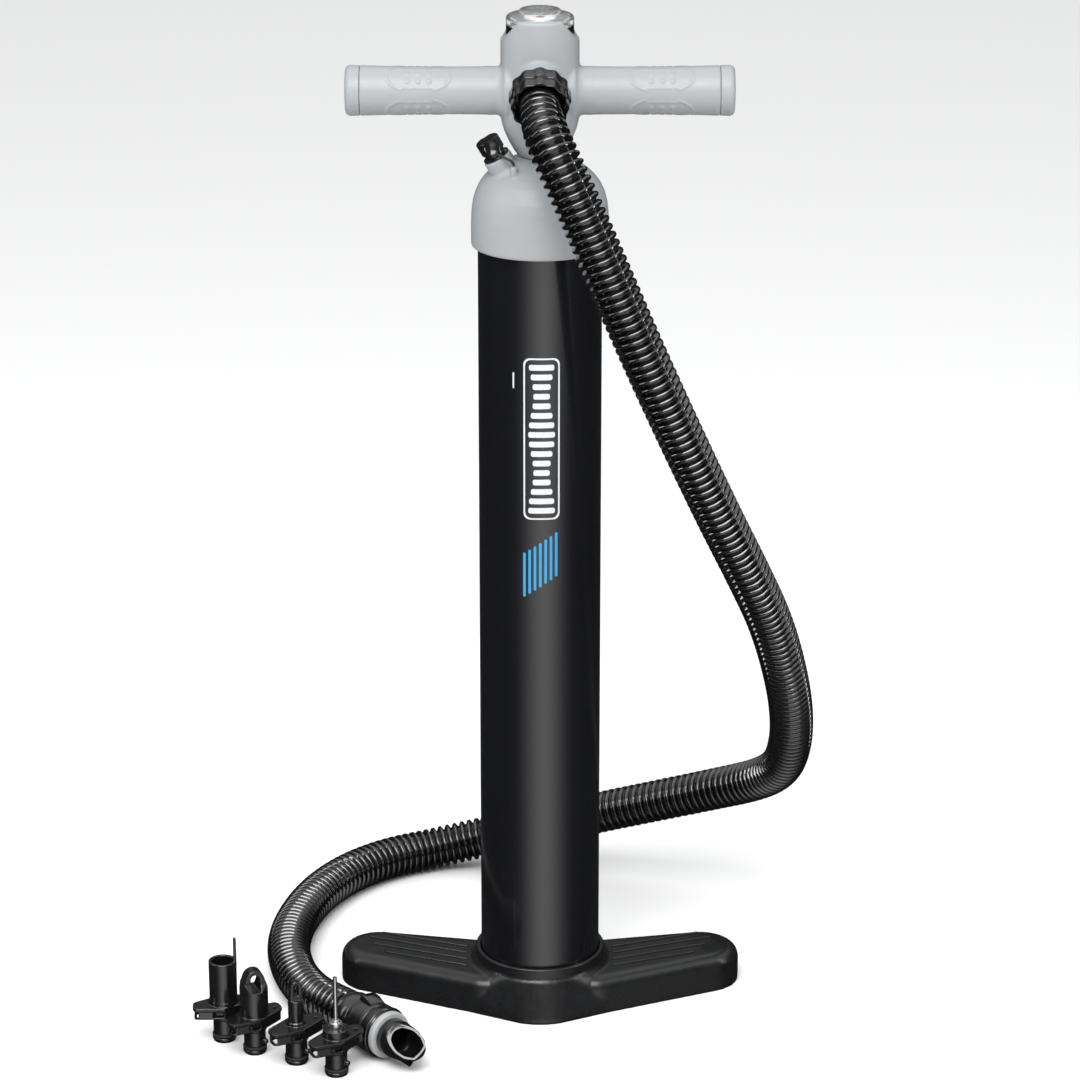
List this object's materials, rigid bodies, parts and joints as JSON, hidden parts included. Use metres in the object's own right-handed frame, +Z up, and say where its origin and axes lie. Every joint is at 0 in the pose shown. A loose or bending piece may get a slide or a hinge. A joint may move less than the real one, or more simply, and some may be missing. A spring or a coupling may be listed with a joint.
{
  "type": "double action hand pump",
  "caption": "Foot-held floor pump: gloss barrel, T handle with pressure gauge, corrugated hose with bayonet nozzle, and loose valve adaptors.",
  "frame": {"origin": "on the floor, under the axis of the barrel", "axes": "+Z up along the barrel; +X along the grips, to the right seen from the front; the foot's nose points to -Y"},
  "size_m": [0.3977, 0.3442, 0.647],
  "materials": {
    "foot_plastic": "satin moulded plastic",
    "barrel_gloss": "gloss painted tube",
    "light_plastic": "satin light grey moulded plastic",
    "black_plastic": "satin black moulded plastic",
    "hose_gloss": "glossy corrugated hose",
    "rubber": "matte rubber",
    "grey_seal": "light grey soft seal",
    "white_plastic": "low-friction white plastic",
    "steel": "bright steel",
    "aluminium_tube": "drawn tube",
    "brass": "turned",
    "dial": "printed dial",
    "needle_red": "painted",
    "lens": "clear"
  },
  "bodies": {
    "barrel": {"base_foot": "foot_plastic", "sole_pads": "rubber", "base_screws": "steel", "barrel_tube": "barrel_gloss", "bottom_cap": "black_plastic", "bottom_seal": "rubber", "head_plate": "black_plastic", "head_seal": "rubber", "rod_bushing": "white_plastic", "disc_retainer": "steel", "dome_cap": "light_plastic", "rod_wiper": "rubber", "nozzle_cuff": "black_plastic", "nozzle_body": "black_plastic", "nozzle_seal": "grey_seal", "nozzle_beak": "black_plastic"},
    "handle": {"hub_body": "light_plastic", "valve_seat": "rubber", "grip_left": "light_plastic", "grip_right": "light_plastic", "grip_end_left": "light_plastic", "grip_end_right": "light_plastic", "grip_cores": "black_plastic", "gauge_housing": "black_plastic", "gauge_dial": "dial", "gauge_lens": "lens", "hose_port": "black_plastic", "port_gasket": "rubber", "hose_cuff": "black_plastic", "hose": "hose_gloss", "rod_tube": "aluminium_tube", "inner_tube": "aluminium_tube", "piston_head": "light_plastic", "piston_seal": "rubber", "wear_ring": "white_plastic", "piston_nut": "brass"},
    "bottom_valve": {"bottom_disc": "rubber"},
    "head_valve": {"head_disc": "rubber"},
    "outlet_valve": {"outlet_disc": "rubber"},
    "plug": {"plug_cap": "black_plastic", "plug_rings": "rubber", "plug_tether": "rubber"},
    "needle": {"gauge_needle": "needle_red"},
    "nut": {"hose_nut": "black_plastic"},
    "collar": {"nozzle_collar": "black_plastic"},
    "adaptor_a": {"adaptor_1": "black_plastic", "adaptor_1_seal": "rubber"},
    "adaptor_b": {"adaptor_2": "black_plastic", "adaptor_2_seal": "rubber"},
    "adaptor_c": {"adaptor_3": "black_plastic", "adaptor_3_seal": "rubber"},
    "adaptor_d": {"adaptor_4": "black_plastic", "adaptor_4_seal": "rubber", "needle_collar": "steel", "inflation_needle": "steel"}
  },
  "joints": [
    {"name": "handle_slide", "type": "slide", "parent": "barrel", "child": "handle", "axis": [0, 0, 1], "range_m": [0, 0.41], "deforming": ["hose"]},
    {"name": "bottom_valve_lift", "type": "slide", "parent": "barrel", "child": "bottom_valve", "axis": [0, 0, 1], "range_m": [0, 0.003]},
    {"name": "head_valve_drop", "type": "slide", "parent": "barrel", "child": "head_valve", "axis": [0, 0, -1], "range_m": [0, 0.002], "stiffness_N_per_m": 200},
    {"name": "outlet_valve_lift", "type": "slide", "parent": "handle", "child": "outlet_valve", "axis": [0, 0, 1], "range_m": [0, 0.004]},
    {"name": "plug_pull", "type": "slide", "parent": "barrel", "child": "plug", "axis": [-0.4924, -0.0868, 0.866], "range_m": [0, 0.008], "deforming": ["plug_tether"]},
    {"name": "needle_turn", "type": "hinge", "parent": "handle", "child": "needle", "pos_m": [0, 0, 0.636], "axis": [0, 0, -1], "range_deg": [0, 270], "stiffness_Nm_per_rad": 0.0002},
    {"name": "nut_turn", "type": "hinge", "parent": "handle", "child": "nut", "pos_m": [0, -0.03853, 0.59998], "axis": [0, -0.9397, -0.342], "range_deg": [0, 540]},
    {"name": "collar_turn", "type": "hinge", "parent": "barrel", "child": "collar", "pos_m": [-0.10671, -0.08373, 0.0168], "axis": [0.6494, -0.7604, 0], "range_deg": [0, 90]},
    {"name": "adaptor_a_lift", "type": "slide", "parent": "barrel", "child": "adaptor_a", "axis": [0, 0, 1], "range_m": [0, 0.06]},
    {"name": "adaptor_b_lift", "type": "slide", "parent": "barrel", "child": "adaptor_b", "axis": [0, 0, 1], "range_m": [0, 0.06]},
    {"name": "adaptor_c_lift", "type": "slide", "parent": "barrel", "child": "adaptor_c", "axis": [0, 0, 1], "range_m": [0, 0.06]},
    {"name": "adaptor_d_lift", "type": "slide", "parent": "barrel", "child": "adaptor_d", "axis": [0, 0, 1], "range_m": [0, 0.06]}
  ]
}
